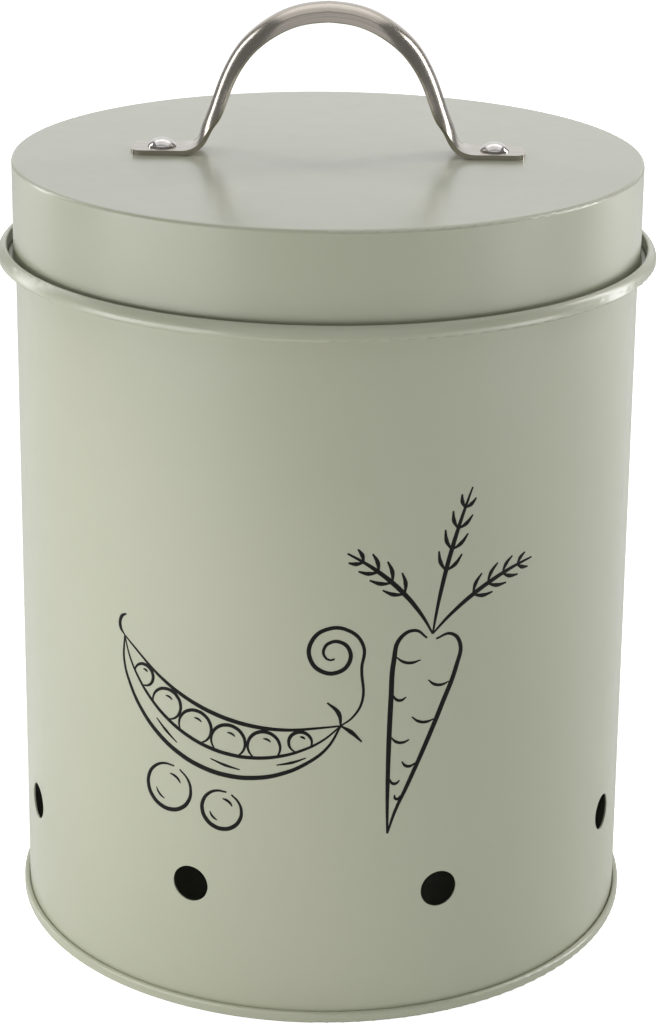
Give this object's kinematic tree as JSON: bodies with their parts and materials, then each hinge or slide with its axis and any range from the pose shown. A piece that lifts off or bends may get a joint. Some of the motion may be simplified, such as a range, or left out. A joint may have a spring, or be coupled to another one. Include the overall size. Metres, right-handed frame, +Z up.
{
  "type": "produce storage tin",
  "caption": "Round painted steel produce tin with air holes round its foot, a seamed recessed base and a lift-off lid with a riveted steel strap handle.",
  "frame": {"origin": "centre of the tin's foot, on the surface it stands on", "axes": "+Z up along the tin's axis, +X along the handle towards its right foot, front towards -Y"},
  "size_m": [0.1726, 0.1726, 0.2463],
  "materials": {
    "body_paint": "satin sage powder coat on steel",
    "base_paint": "satin sage powder coat on steel",
    "lid_paint": "satin sage powder coat on steel",
    "handle_steel": "brushed along the strap",
    "rivet_steel": "polished",
    "washer_steel": "plain"
  },
  "bodies": {
    "tin": {"body_shell": "body_paint", "base_pan": "base_paint"},
    "lid": {"lid_pan": "lid_paint", "handle_strap": "handle_steel", "rivet_left": "rivet_steel", "rivet_right": "rivet_steel", "washer_left": "washer_steel", "washer_right": "washer_steel"}
  },
  "joints": [
    {"name": "lid_lift", "type": "slide", "parent": "tin", "child": "lid", "axis": [0, 0, 1], "range_m": [0, 0.15]}
  ]
}
